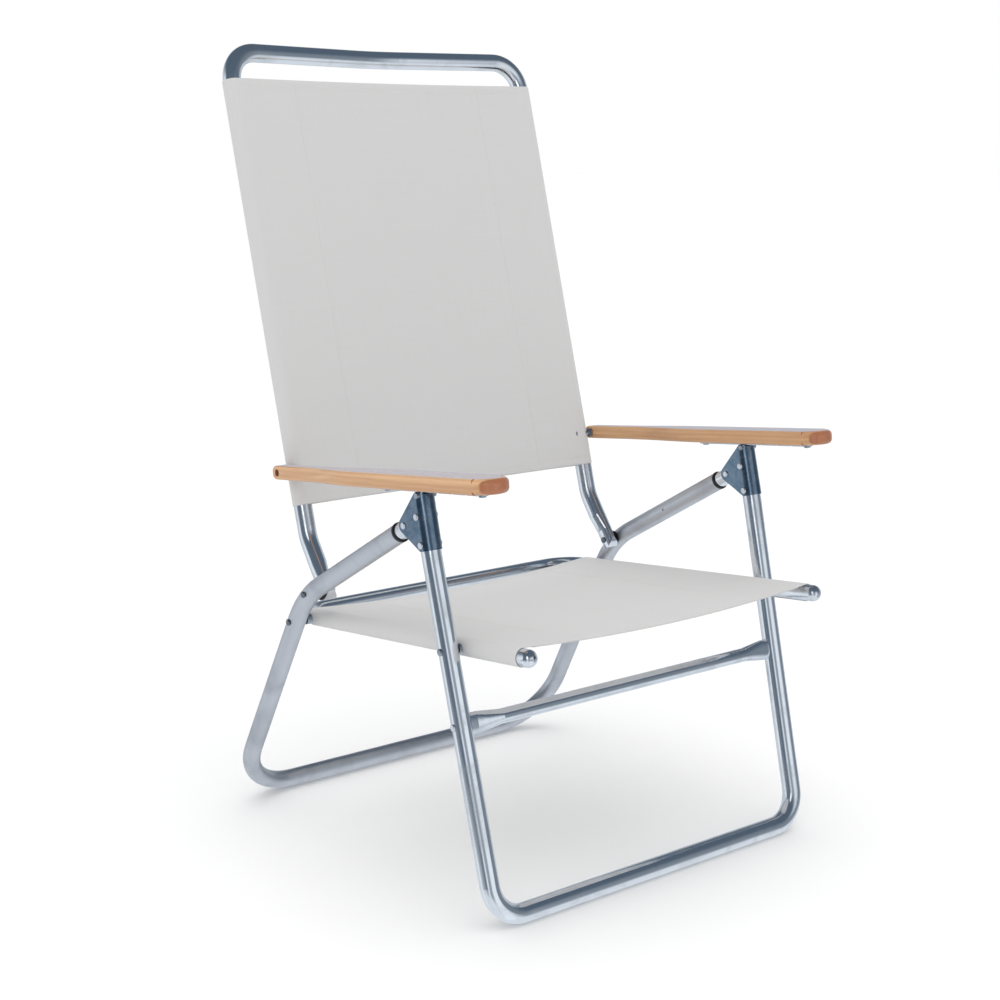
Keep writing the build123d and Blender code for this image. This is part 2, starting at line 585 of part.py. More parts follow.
def make_arm_rack():
    """Flat steel strip under the armrest, with a notch for each position of the back."""
    top = -ARM_THICK / 2 - TOUCH
    length = RACK_END - RACK_START
    plan = Plane(origin=arm_point(ARM_X, (RACK_START + RACK_END) / 2, top - RACK_THICK), x_dir=(1, 0, 0), z_dir=ARM_UP)
    rack = extrude(plan * SlotOverall(length, RACK_WIDTH, rotation=90), amount=RACK_THICK)
    for along in NOTCHES:
        place = arm_point(0, along, top - RACK_THICK)
        rack -= cross_rod(ARM_X - RACK_WIDTH, ARM_X + RACK_WIDTH, (place.Y, place.Z), NOTCH_R)
    for along in ARM_SCREWS:
        start = arm_point(ARM_X, along, -ARM_THICK)
        rack -= straight_rod(start, arm_point(ARM_X, along), RIVET_R + SNUG)
    return rack


def make_arm_screws():
    """Pan-head screws that hold the rack under the armrest."""
    screws = []
    seat_up = -ARM_THICK / 2 - 2 * TOUCH - RACK_THICK
    for along in ARM_SCREWS:
        shank = straight_rod(arm_point(ARM_X, along, seat_up), arm_point(ARM_X, along, SCREW_DEPTH - ARM_THICK / 2), RIVET_R)
        head = straight_rod(arm_point(ARM_X, along, seat_up - SCREW_HEAD), arm_point(ARM_X, along, seat_up), HEAD_R)
        head = fillet(head.edges().filter_by(GeomType.CIRCLE).sort_by(Axis.Z)[0], SCREW_ROUND)
        screws += (shank + head).solids()
    return Compound(children=screws)


# ---------------------------------------------------------------- write the pieces
def build_all():
    bracket = make_bracket()
    slide = make_slide_tube()
    wood = make_armrest()
    rack = make_arm_rack()
    screws = make_arm_screws()
    arm_bolt = make_arm_pivot_bolt()
    pieces = {
        "rear_leg_frame": make_rear_leg_frame(),
        "tube_end_rings": make_tube_end_rings(),
        "seat_rear_pivot_bolts": make_seat_rear_pivots(),
        "seat_pivot_washers": make_seat_pivot_washers(),
        "front_leg_frame": make_front_leg_frame(),
        "front_cross_bar": make_cross_bar(),
        "cross_bar_rivets": make_cross_bar_rivets(),
        "bracket_rivets": make_bracket_rivets(),
        "slide_pivot_rivets": make_slide_pivot_rivets(),
        "arm_catch_pins": make_arm_catch_pins(),
        "seat_front_pivot_bolts": make_seat_front_pivots(),
        "seat_frame": make_seat_frame(),
        "seat_sling": make_seat_sling(),
        "back_frame": make_back_frame(),
        "back_pivot_bolts": make_back_pivot_bolts(),
        "back_pivot_washers": make_back_pivot_washers(),
        "back_sling": make_back_sling(),
        "arm_pivot_washers": make_arm_pivot_washers(),
    }
    sided = {
        "bracket": bracket,
        "slide_tube": slide,
        "armrest": wood,
        "arm_rack": rack,
        "arm_screws": screws,
        "arm_pivot_bolt": arm_bolt,
    }
    for name, piece in sided.items():
        pieces["left_" + name] = piece
        pieces["right_" + name] = other_side(piece)
    return pieces


def middle_y(pieces):
    """Y halfway between the front and the rear of the whole chair."""
    boxes = [piece.bounding_box() for piece in pieces.values()]
    return (min(box.min.Y for box in boxes) + max(box.max.Y for box in boxes)) / 2


os.makedirs("parts", exist_ok=True)
chair = build_all()
shift = Pos(0, -middle_y(chair), 0)
for name, piece in chair.items():
    export_step(shift * piece, f"parts/{name}.step")
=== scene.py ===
import json
import math
import random

import bmesh
import bpy
import numpy as np
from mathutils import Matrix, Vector


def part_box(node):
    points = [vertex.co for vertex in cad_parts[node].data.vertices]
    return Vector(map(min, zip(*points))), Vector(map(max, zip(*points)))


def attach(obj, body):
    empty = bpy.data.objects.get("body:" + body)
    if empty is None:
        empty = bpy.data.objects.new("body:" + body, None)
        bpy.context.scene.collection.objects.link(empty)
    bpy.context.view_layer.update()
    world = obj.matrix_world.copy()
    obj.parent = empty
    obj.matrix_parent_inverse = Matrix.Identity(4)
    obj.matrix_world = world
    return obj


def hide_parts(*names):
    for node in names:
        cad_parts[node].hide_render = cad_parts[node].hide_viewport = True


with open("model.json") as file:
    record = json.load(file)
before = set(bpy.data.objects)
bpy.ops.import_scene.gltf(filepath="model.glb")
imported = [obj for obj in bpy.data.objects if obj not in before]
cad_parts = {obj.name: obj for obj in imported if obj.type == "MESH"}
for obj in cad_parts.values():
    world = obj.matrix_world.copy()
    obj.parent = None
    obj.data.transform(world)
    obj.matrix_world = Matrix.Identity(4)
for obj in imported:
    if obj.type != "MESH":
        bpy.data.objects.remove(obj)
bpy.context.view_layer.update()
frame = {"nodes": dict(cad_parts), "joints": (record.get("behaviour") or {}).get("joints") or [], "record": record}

# Folding high-back beach chair. The metal and wood pieces are the CAD nodes with node
# materials; the two slings are sewn, hemmed and draped here. Metres, the CAD's frame.
X = Vector((1, 0, 0))

# ---------------------------------------------------------------- sizes
CLOTH = 0.0011           # thickness of the sling cloth
POCKET = 0.097           # from a tube's centre line to the seam of its pocket
HEM = 0.0115             # from a free edge to its line of stitches
HEM_TUCK = 0.0135        # width of the folded hem
STITCH = 0.0030          # length of one stitch
STITCH_STEP = 0.0038
THREAD_R = 0.00028
CELL = 0.0085            # spacing of the cloth's mesh
PLY_POINTS = 12          # points across a pocket's under ply
BEND_POINTS = 20         # steps round a tube
THREAD_SIDES = 6
# one stitch's rings: share of its length, rise and width in thread radii
STITCH_RINGS = ((0, -0.9, 0.5), (0.2, 0.35, 1), (0.5, 0.7, 1.1), (0.8, 0.35, 1), (1, -0.9, 0.5))
THREAD_PITCH = 0.0014    # spacing of the weave's yarns
SEAT_PULL = 0.25         # how hard each cloth is drawn to its hidden side
BACK_PULL = 0.08
DRAPE_FRAMES = 30        # steps of the cloth simulation
CREASE_DEPTH = 0.0012
CREASE_WIDTH = 0.011
SEAM_DIP = 0.00025       # how far a hem's stitches draw the cloth in
# soft folds of the seat that run inwards from its front pivots: (x, along the tube) of both ends
SEAT_CREASES = (((-0.236, 0.100), (-0.125, 0.165)), ((0.236, 0.100), (0.150, 0.150)))

# half lengths of the straight cross bars, for the way the drawing lines run
FRONT_BAR = 0.226
BACK_BAR = 0.212
SEAT_BAR = 0.204
REAR_BAR = 0.201
REAR_KNEE = 0.35         # height of the rear tubes' bend
BACK_RISE = 0.0055       # how far the back cloth's upper hem stands above the CAD sling
MOUTH = 0.085            # the seat's pockets have no under ply this far from the front edge

random.seed(7)


# ---------------------------------------------------------------- node materials
class Look:
    """A node material, with short ways to add nodes and to feed its Principled shader."""

    def __init__(self, name, **settings):
        self.material = bpy.data.materials.new(name)
        self.material.use_nodes = True
        self.tree = self.material.node_tree
        self.shader = self.tree.nodes["Principled BSDF"]
        self.place = self.add("TexCoord").outputs["Object"]
        for key, value in settings.items():
            self.set(key.replace("_", " "), value)

    def set(self, key, value):
        names = {name.lower(): name for name in self.shader.inputs.keys()}
        self.feed(self.shader.inputs[names[key.lower()]], value)

    def feed(self, socket, value):
        if isinstance(value, bpy.types.NodeSocket):
            self.tree.links.new(value, socket)
        else:
            socket.default_value = value

    def add(self, kind, inputs=(), **settings):
        node = self.tree.nodes.new("ShaderNode" + kind)
        for key, value in settings.items():
            setattr(node, key, value)
        for key, value in dict(inputs).items():
            self.feed(node.inputs[key], value)
        return node

    def math(self, operation, a, b=0.0, clamp=False):
        node = self.add("Math", {0: a, 1: b}, operation=operation, use_clamp=clamp)
        return node.outputs[0]

    def vector(self, operation, a, b=(0, 0, 0), output=0):
        return self.add("VectorMath", {0: a, 1: b}, operation=operation).outputs[output]

    def along(self, direction):
        """How far each point lies along a direction, in metres."""
        return self.vector("DOT_PRODUCT", self.place, tuple(direction), "Value")

    def drawn_out(self, direction, stretch):
        """The place, squeezed along a direction, so that a texture on it is drawn out that way."""
        amount = self.math("MULTIPLY", self.along(direction), 1 - 1 / stretch)
        shift = self.add("VectorMath", {0: tuple(direction), "Scale": amount}, operation="SCALE").outputs[0]
        return self.vector("SUBTRACT", self.place, shift)

    def noise(self, scale, place=None, detail=4.0, roughness=0.5, distortion=0.0):
        inputs = {"Vector": place or self.place, "Scale": scale, "Detail": detail}
        inputs.update({"Roughness": roughness, "Distortion": distortion})
        return self.add("TexNoise", inputs).outputs["Fac"]

    def remap(self, value, low, high, to_low=0.0, to_high=1.0):
        inputs = {"Value": value, "From Min": low, "From Max": high, "To Min": to_low, "To Max": to_high}
        return self.add("MapRange", inputs, interpolation_type="SMOOTHSTEP").outputs["Result"]

    def mix(self, share, a, b, blend="MIX"):
        node = self.add("Mix", data_type="RGBA", blend_type=blend)
        colour_a, colour_b = node.inputs[6], node.inputs[7]
        self.feed(node.inputs[0], share)
        self.feed(colour_a, a)
        self.feed(colour_b, b)
        return node.outputs[2]

    def bump(self, height, depth, strength=1.0):
        """Relief of the given depth in metres on the whole shader."""
        inputs = {"Height": height, "Distance": depth, "Strength": strength}
        before = self.shader.inputs["Normal"]
        if before.links:
            inputs["Normal"] = before.links[0].from_socket
        self.set("Normal", self.add("Bump", inputs).outputs["Normal"])


def grey(value):
    return (value, value, value, 1.0)


def metal_look(name, runs, base, rough, smudge=0.16, line_depth=4e-6):
    """Drawn aluminium tube. runs lists (direction, mask) pairs: where lines run which way."""
    look = Look(name, Metallic=1.0, IOR=1.5)
    lines = None
    for direction, mask in runs:
        line = look.noise(1100.0, look.drawn_out(direction, 90.0), detail=3.0, roughness=0.6)
        lines = line if lines is None else look.mix(mask(look), lines, line)
    smears = look.noise(16.0, detail=6.0, roughness=0.62, distortion=0.8)
    patches = look.noise(70.0, detail=5.0, roughness=0.7)
    dull = look.remap(smears, 0.42, 0.72)
    flecks = look.remap(patches, 0.60, 0.72)
    roughness = look.math("MULTIPLY_ADD", dull, smudge)
    roughness.node.inputs[2].default_value = rough
    fine = look.math("MULTIPLY_ADD", lines, 0.10)
    look.feed(fine.node.inputs[2], roughness)
    handled = look.math("MULTIPLY_ADD", flecks, 0.07)
    look.feed(handled.node.inputs[2], fine)
    look.set("Roughness", look.math("SUBTRACT", handled, 0.05, clamp=True))
    dark = tuple(v * 0.86 for v in base[:3]) + (1.0,)
    look.set("Base Color", look.mix(dull, base, dark))
    look.bump(lines, line_depth)
    look.bump(smears, 9e-5, 0.35)
    return look.material


def bars_inside(x_bend):
    """Mask that is 1 on the cross bars of a bent frame and 0 on its legs."""
    def mask(look):
        sideways = look.math("ABSOLUTE", look.along(X))
        return look.remap(sideways, x_bend - 0.008, x_bend + 0.008, 1.0, 0.0)
    return mask


def above(height):
    def mask(look):
        return look.remap(look.along((0, 0, 1)), height - 0.02, height + 0.02)
    return mask


def zinc_look():
    look = Look("bright_zinc_sheet", Metallic=1.0)
    spangle = look.add("TexVoronoi", {"Vector": look.place, "Scale": 240.0}).outputs["Color"]
    cells = look.add("SeparateColor", {0: spangle}).outputs[0]
    film = look.noise(55.0, detail=6.0, roughness=0.65)
    rub = look.noise(900.0, look.drawn_out((0, 0.24, 0.97), 25.0), detail=2.0)
    tint = look.mix(look.remap(film, 0.35, 0.7), (0.10, 0.16, 0.23, 1), (0.18, 0.24, 0.31, 1))
    look.set("Base Color", look.mix(look.math("MULTIPLY", cells, 0.18), tint, (0.36, 0.43, 0.50, 1)))
    rough = look.math("MULTIPLY_ADD", film, 0.22)
    look.feed(rough.node.inputs[2], look.math("MULTIPLY", rub, 0.18))
    look.set("Roughness", rough)
    look.bump(rub, 6e-6)
    look.bump(film, 8e-5, 0.3)
    return look.material


def fastener_look(name, base, rough, worn):
    """Small turned or headed steel pieces: machining rings, pits and rubbed high spots."""
    look = Look(name, Metallic=1.0)
    pits = look.noise(900.0, detail=5.0, roughness=0.7)
    film = look.noise(130.0, detail=4.0, roughness=0.6)
    around = look.vector("MULTIPLY", look.place, (1.0, 0.02, 0.02))
    turned = look.noise(2600.0, around, detail=1.0)
    look.set("Base Color", look.mix(look.remap(film, 0.45, 0.7), base, worn))
    level = look.math("MULTIPLY_ADD", film, 0.25)
    level.node.inputs[2].default_value = rough
    look.set("Roughness", level)
    look.bump(pits, 1.6e-5, 0.6)
    look.bump(turned, 8e-6, 0.6)
    return look.material


def nylon_look():
    look = Look("moulded_black_nylon", IOR=1.53)
    grain = look.noise(1500.0, detail=3.0)
    scuff = look.noise(150.0, detail=6.0, roughness=0.7, distortion=1.2)
    worn = look.remap(scuff, 0.55, 0.75)
    look.set("Base Color", look.mix(worn, (0.014, 0.014, 0.016, 1), (0.05, 0.05, 0.055, 1)))
    look.set("Roughness", look.remap(scuff, 0.3, 0.8, 0.38, 0.62))
    look.bump(grain, 1.5e-5, 0.7)
    return look.material


def wood_look(along, up):
    """Oiled hardwood: grain lines along the arm, pores, darker end grain on the round nose; painted reflection on
    top.
    """
    look = Look("oiled_hardwood", IOR=1.5)
    figure = look.noise(38.0, look.drawn_out(along, 26.0), detail=5.0, roughness=0.55, distortion=0.7)
    rings = look.add("TexWave", {"Vector": look.drawn_out(along, 34.0), "Scale": 46.0, "Distortion": 5.0,
                                 "Detail": 3.0, "Detail Scale": 1.6}, bands_direction="Z").outputs["Fac"]
    pores = look.noise(1300.0, look.drawn_out(along, 32.0), detail=2.0, roughness=0.6)
    tone = look.mix(look.remap(figure, 0.34, 0.68), (0.50, 0.265, 0.125, 1), (0.70, 0.42, 0.215, 1))
    tone = look.mix(look.math("MULTIPLY", rings, 0.28), tone, (0.40, 0.175, 0.066, 1))
    open_pore = look.remap(pores, 0.60, 0.70)
    tone = look.mix(look.math("MULTIPLY", open_pore, 0.45), tone, (0.26, 0.105, 0.040, 1))
    facing = look.add("NewGeometry").outputs["Normal"]
    ahead = look.vector("DOT_PRODUCT", facing, tuple(along), "Value")
    end_share = look.remap(look.math("ABSOLUTE", ahead), 0.40, 0.52)
    ends = look.noise(1500.0, detail=2.0, roughness=0.7)
    end_tone = look.mix(look.remap(ends, 0.42, 0.62), (0.30, 0.105, 0.042, 1), (0.46, 0.17, 0.070, 1))
    # painted reflection: where the arm's top faces up and is seen at a grazing angle, its colour is mixed up to
    # 80% towards lavender grey, in place of the varnish reflecting the studio
    graze = look.remap(look.add("LayerWeight", {0: 0.5}).outputs["Facing"], 0.70, 0.90)
    upward = look.remap(look.vector("DOT_PRODUCT", facing, tuple(up), "Value"), 0.35, 0.80)
    painted_top_reflection = look.math("MULTIPLY", look.math("MULTIPLY", graze, upward), 0.80)
    tone = look.mix(painted_top_reflection, look.mix(end_share, tone, end_tone), (0.44, 0.45, 0.54, 1))
    look.set("Base Color", tone)
    look.set("Roughness", look.remap(figure, 0.3, 0.7, 0.34, 0.48))
    look.set("Coat Weight", 0.55)
    look.set("Coat Roughness", look.remap(pores, 0.3, 0.8, 0.16, 0.34))
    relief = look.math("MULTIPLY", open_pore, -1.0)
    look.bump(relief, 6e-5, 0.7)
    look.bump(figure, 1.2e-4, 0.25)
    return look.material


def cloth_look(name, base, shade):
    """Tight plain weave on the piece's UV map, which is in metres along and across the cloth."""
    look = Look(name, IOR=1.46)
    uv = look.add("UVMap", uv_map="weave").outputs["UV"]
    split = look.add("SeparateXYZ", {0: uv})
    ripple = []
    for axis in (0, 1):
        turns = look.math("MULTIPLY", split.outputs[axis], math.tau / (2 * THREAD_PITCH))
        ripple.append(turns)
    warp = look.math("MULTIPLY", look.math("COSINE", ripple[0]), look.math("COSINE", ripple[1]))
    weft = look.math("MULTIPLY", look.math("SINE", ripple[0]), look.math("SINE", ripple[1]))
    weave = look.math("ABSOLUTE", look.math("ADD", warp, weft))
    slubs = []
    for squeeze in ((6.0, 700.0, 1.0), (700.0, 6.0, 1.0)):
        stretched = look.vector("MULTIPLY", uv, squeeze)
        slubs.append(look.noise(1.0, stretched, detail=3.0, roughness=0.6))
    yarn = look.math("ADD", slubs[0], slubs[1])
    fluff = look.noise(2600.0, detail=3.0, roughness=0.7)
    soil = look.noise(7.0, detail=5.0, roughness=0.55)
    tone = look.mix(look.remap(yarn, 0.60, 1.40), shade, base)
    # painted shade: where the weave's relief is low, between the yarns, the colour is darkened up to a tenth of
    # the way towards the darker tone
    tone = look.mix(look.math("MULTIPLY", look.remap(weave, 0.0, 0.55, 1.0, 0.0), 0.10), tone, shade)
    tone = look.mix(look.math("MULTIPLY", look.remap(soil, 0.45, 0.75), 0.10), tone, shade)
    look.set("Base Color", tone)
    look.set("Roughness", look.remap(fluff, 0.3, 0.7, 0.80, 0.95))
    look.set("Sheen Weight", 0.18)
    look.set("Sheen Roughness", 0.45)
    look.set("Specular IOR Level", 0.25)
    look.bump(weave, 1.0e-4, 0.35)
    look.bump(yarn, 2.0e-5, 0.15)
    look.bump(fluff, 3.0e-5, 0.5)
    return look.material


def thread_look():
    look = Look("sewing_thread")
    twist = look.noise(3800.0, detail=2.0)
    tone = look.noise(240.0, detail=2.0)
    look.set("Base Color", look.mix(tone, (0.58, 0.57, 0.56, 1), (0.74, 0.73, 0.72, 1)))
    look.set("Roughness", look.remap(twist, 0.3, 0.7, 0.5, 0.75))
    look.set("Sheen Weight", 0.25)
    look.bump(twist, 6e-5)
    return look.material


# ---------------------------------------------------------------- sling measurements
class SlingPlan:
    """Place and size of one sling, read from its CAD solid.

    Every point is given as x, w (out towards the sitter's side) and u (along the tubes).
    """

    def __init__(self, node, sitter_side, rise):
        mesh = frame["nodes"][node].data
        areas = {}
        for polygon in mesh.polygons:
            key = tuple(round(c, 2) for c in polygon.normal)
            areas[key] = areas.get(key, 0.0) + polygon.area
        facing = [key for key in areas if abs(key[0]) < 0.02 and Vector(key).dot(sitter_side) > 0.7]
        widest = max(facing, key=areas.get)
        flat = [p for p in mesh.polygons if tuple(round(c, 2) for c in p.normal) == widest]
        self.out = sum((p.normal * p.area for p in flat), Vector()).normalized()
        self.out.x = 0.0
        self.out.normalize()
        self.run = X.cross(self.out) * (1 if X.cross(self.out).dot(Vector((0, 1, 1))) > 0 else -1)
        points = [v.co for v in mesh.vertices]
        across = [p.dot(self.out) for p in points]
        lengthwise = [p.dot(self.run) for p in points]
        self.u0, self.u1 = min(lengthwise), max(lengthwise) + rise
        self.tube_w = (min(across) + max(across)) / 2
        self.radius = (max(across) - min(across)) / 2 - CLOTH / 2
        self.tube_x = max(p.x for p in points) - self.radius - CLOTH / 2

    def point(self, x, w, u):
        return X * x + self.out * w + self.run * u

    def section(self):
        """The sheet's path across the chair, as (x, w) points from one pocket's seam to the other's."""
        under_w = self.tube_w + self.radius - CLOTH * 1.1
        seam = Vector((self.tube_x - POCKET, under_w))
        centre = Vector((self.tube_x, self.tube_w))
        reach = (seam - centre).length
        to_seam = math.atan2(seam.y - centre.y, seam.x - centre.x)
        leave = to_seam + math.acos(self.radius / reach)
        while leave > 0:
            leave -= math.tau
        tangent = centre + self.radius * Vector((math.cos(leave), math.sin(leave)))
        side = [seam.lerp(tangent, k / PLY_POINTS) for k in range(PLY_POINTS)]
        for k in range(BEND_POINTS + 1):
            angle = leave + (math.pi / 2 - leave) * k / BEND_POINTS
            side.append(centre + self.radius * Vector((math.cos(angle), math.sin(angle))))
        count = round(2 * self.tube_x / CELL)
        top = self.tube_w + self.radius
        panel = [Vector((self.tube_x * (1 - 2 * k / count), top)) for k in range(1, count)]
        mirrored = [Vector((-p.x, p.y)) for p in reversed(side)]
        return side + panel + mirrored, len(side), len(panel)

    def stations(self):
        """Rows along the cloth: close together in the hems, evenly spaced between them."""
        close = [0.0, HEM * 0.35, HEM * 0.7, HEM, HEM_TUCK]
        length = self.u1 - self.u0
        count = round((length - 2 * HEM_TUCK) / CELL)
        middle = [HEM_TUCK + (length - 2 * HEM_TUCK) * k / count for k in range(1, count)]
        return close + middle + [length - c for c in reversed(close)]


# ---------------------------------------------------------------- sling pieces
def new_piece(name, points, faces, material, body):
    mesh = bpy.data.meshes.new(name)
    mesh.from_pydata([tuple(p) for p in points], [], faces)
    mesh.materials.append(material)
    mesh.polygons.foreach_set("use_smooth", [True] * len(mesh.polygons))
    piece = bpy.data.objects.new(name, mesh)
    bpy.context.scene.collection.objects.link(piece)
    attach(piece, body)
    return piece


def sheet_faces(rows, columns):
    return [
        (r * columns + c, r * columns + c + 1, (r + 1) * columns + c + 1, (r + 1) * columns + c)
        for r in range(rows - 1)
        for c in range(columns - 1)
    ]


def give_weave_map(piece, along, across):
    """UV map in metres: along and across list each vertex's distances on the cloth."""
    layer = piece.data.uv_layers.new(name="weave")
    for loop in piece.data.loops:
        layer.data[loop.index].uv = (along[loop.vertex_index], across[loop.vertex_index])


def drape(points, faces, pinned, pull):
    """Lets a sheet hang with its pinned vertices held, and returns where every vertex ends."""
    mesh = bpy.data.meshes.new("drape")
    mesh.from_pydata([tuple(p) for p in points], [], faces)
    sheet = bpy.data.objects.new("drape", mesh)
    scene = bpy.context.scene
    scene.collection.objects.link(sheet)
    group = sheet.vertex_groups.new(name="held")
    group.add(pinned, 1.0, "REPLACE")
    modifier = sheet.modifiers.new("cloth", "CLOTH")
    cloth = modifier.settings
    cloth.vertex_group_mass = "held"
    cloth.quality = 6
    cloth.mass = 0.12
    cloth.tension_stiffness = cloth.compression_stiffness = 60.0
    cloth.shear_stiffness = 25.0
    cloth.bending_stiffness = 4.0
    cloth.tension_damping = cloth.compression_damping = cloth.shear_damping = 25.0
    cloth.air_damping = 4.0
    modifier.collision_settings.use_collision = False
    modifier.point_cache.frame_start = 1
    modifier.point_cache.frame_end = DRAPE_FRAMES
    scene.gravity = pull * 9.81
    for step in range(1, DRAPE_FRAMES + 1):
        scene.frame_set(step)
    hung = sheet.evaluated_get(bpy.context.evaluated_depsgraph_get()).data
    placed = np.empty(len(hung.vertices) * 3, np.float32)
    hung.vertices.foreach_get("co", placed)
    bpy.data.objects.remove(sheet)
    scene.frame_set(1)
    return [Vector(p) for p in placed.reshape(-1, 3)]


def crease(x, u, start, end):
    """Depth share of a soft fold that runs between two (x, u) places."""
    a, b, p = Vector(start), Vector(end), Vector((x, u))
    share = max(0.0, min(1.0, (p - a).dot(b - a) / (b - a).length_squared))
    away = (p - a.lerp(b, share)).length
    return math.exp(-((away / CREASE_WIDTH) ** 2)) * (1 - share) * (0.35 + 0.65 * min(1.0, share * 6))


def stitch_line(places, outs, lift):
    """Vertices and faces of a row of raised stitches along a line of places on the cloth."""
    points, faces = [], []
    lengths = [0.0]
    for a, b in zip(places, places[1:]):
        lengths.append(lengths[-1] + (b - a).length)

    def spot(distance):
        k = min(max(np.searchsorted(lengths, distance) - 1, 0), len(places) - 2)
        share = (distance - lengths[k]) / max(lengths[k + 1] - lengths[k], 1e-9)
        return places[k].lerp(places[k + 1], share), outs[k].lerp(outs[k + 1], share).normalized()

    distance = STITCH_STEP / 2
    while distance + STITCH < lengths[-1]:
        rings = []
        wander = random.uniform(-0.00012, 0.00012)
        for share, height, width in STITCH_RINGS:
            place, out = spot(distance + share * STITCH)
            ahead = (spot(distance + STITCH)[0] - spot(distance)[0]).normalized()
            side = ahead.cross(out).normalized()
            centre = place + out * (lift + height * THREAD_R) + side * wander
            ring = []
            for k in range(THREAD_SIDES):
                turn = math.tau * k / THREAD_SIDES
                ring.append(centre + (side * math.cos(turn) + out * math.sin(turn)) * THREAD_R * width)
            rings.append(ring)
        base = len(points)
        for ring in rings:
            points += ring
        for r in range(len(rings) - 1):
            for k in range(THREAD_SIDES):
                a = base + r * THREAD_SIDES + k
                b = base + r * THREAD_SIDES + (k + 1) % THREAD_SIDES
                faces.append((a, b, b + THREAD_SIDES, a + THREAD_SIDES))
        last = base + (len(rings) - 1) * THREAD_SIDES
        faces.append(tuple(base + k for k in reversed(range(THREAD_SIDES))))
        faces.append(tuple(last + k for k in range(THREAD_SIDES)))
        distance += STITCH_STEP
    return points, faces


def make_sling(name, node, body, sitter_side, pull, looks, creases, rise=0.0, mouth=0.0):
    """Sews, drapes and hems one sling, and puts it in place of its CAD solid."""
    plan = SlingPlan(node, sitter_side, rise)
    section, side_count, panel_count = plan.section()
    stations = plan.stations()
    columns = len(section)
    across = [0.0]
    for a, b in zip(section, section[1:]):
        across.append(across[-1] + (b - a).length)
    flat = []
    for station in stations:
        for place in section:
            flat.append(plan.point(place.x, place.y, plan.u0 + station))
    faces = sheet_faces(len(stations), columns)
    panel = range(side_count, side_count + panel_count)
    held = [k for k in range(len(flat)) if k % columns not in panel]
    draped = drape(flat, faces, held, plan.out * -pull)

    # the pocket's under ply hangs from its seam, so it goes along with the panel there
    seam_columns = []
    for sign in (1, -1):
        x_seam = sign * (plan.tube_x - POCKET)
        seam_columns.append(min(panel, key=lambda c: abs(section[c].x - x_seam)))
    for row in range(len(stations)):
        for k in range(PLY_POINTS):
            share = 1 - k / PLY_POINTS
            for column, seam in ((k, seam_columns[0]), (columns - 1 - k, seam_columns[1])):
                shift = draped[row * columns + seam] - flat[row * columns + seam]
                draped[row * columns + column] += shift * share
        for c in panel:
            x, u = section[c].x, stations[row]
            depth = sum(crease(x, u, *ends) for ends in creases)
            draped[row * columns + c] -= plan.out * depth * CREASE_DEPTH
        if stations[row] in (stations[3], stations[-4]):
            for c in panel:
                draped[row * columns + c] -= plan.out * SEAM_DIP

    ply = set(range(PLY_POINTS)) | set(range(columns - 1 - PLY_POINTS, columns - 1))
    kept = [f for f in faces if f[0] % columns not in ply or stations[f[0] // columns] >= mouth]
    cloth = new_piece(name, draped, kept, looks["cloth"], body)
    give_weave_map(cloth, [u for u in stations for _ in section], across * len(stations))
    thick = cloth.modifiers.new("thickness", "SOLIDIFY")
    thick.thickness = CLOTH
    thick.offset = 0.0
    thick.use_even_offset = True
    smooth = cloth.modifiers.new("smooth", "SUBSURF")
    smooth.levels = smooth.render_levels = 1
    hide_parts(node)

    # hems folded to the hidden side at both free edges
    for end, rows in (("front" if body == "seat" else "lower", (0, 1, 2, 3, 4)),
                      ("rear" if body == "seat" else "upper", (-1, -2, -3, -4, -5))):
        hem_points, along, wide = [], [], []
        first, last = side_count + 1, side_count + panel_count - 1
        for row in rows:
            row = row % len(stations)
            lift = CLOTH * (1.02 if row not in (0, len(stations) - 1) else 0.55)
            for c in range(first, last):
                hem_points.append(draped[row * columns + c] - plan.out * lift)
                along.append(stations[row] + 0.0007)
                wide.append(across[c])
        hem = new_piece(f"{name}_{end}_hem", hem_points, sheet_faces(len(rows), last - first),
                        looks["cloth"], body)
        give_weave_map(hem, along, wide)
        fold = hem.modifiers.new("thickness", "SOLIDIFY")
        fold.thickness = CLOTH * 0.8
        fold.offset = 0.0

    # lines of stitches: along each hem and along each pocket's seam
    lift = CLOTH / 2
    points, faces = [], []
    lines = []
    for row in (3, len(stations) - 4):
        lines.append([draped[row * columns + c] for c in range(side_count, side_count + panel_count)])
    for seam in seam_columns:
        lines.append([draped[row * columns + seam] for row, u in enumerate(stations) if u >= mouth])
    for line in lines:
        more, more_faces = stitch_line(line, [plan.out] * len(line), lift)
        faces += [tuple(i + len(points) for i in f) for f in more_faces]
        points += more
    new_piece(f"{name}_stitches", points, faces, looks["thread"], body)
    return plan


# ---------------------------------------------------------------- looks on the CAD nodes
def paint(nodes, material):
    for node in nodes:
        mesh = frame["nodes"][node].data
        mesh.materials.clear()
        mesh.materials.append(material)


def side_direction(node):
    """Direction from a frame's lower to its upper end, in the side view."""
    low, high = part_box(node)
    return Vector((0, high.y - low.y, high.z - low.z)).normalized()


looks = {"cloth": cloth_look("tight_woven_sling", (0.600, 0.598, 0.598, 1), (0.580, 0.578, 0.578, 1)),
         "thread": thread_look()}
seat_plan = make_sling("seat_cloth", "seat_sling", "seat", Vector((0, 0, 1)), SEAT_PULL, looks,
                       SEAT_CREASES, mouth=MOUTH)
back_plan = make_sling("back_cloth", "back_sling", "back", Vector((0, -1, 0)), BACK_PULL, looks, [],
                       rise=BACK_RISE)

slide_axis = Vector(next(j["axis"] for j in frame["joints"] if j["name"] == "frame_slide"))
arm_up = Vector(next(m["axis"] for m in frame["record"]["mounts"] if m["name"] == "left_armrest_top"))
arm_along = X.cross(arm_up)
POLISHED = (0.80, 0.83, 0.87, 1)
SATIN = (0.60, 0.615, 0.65, 1)

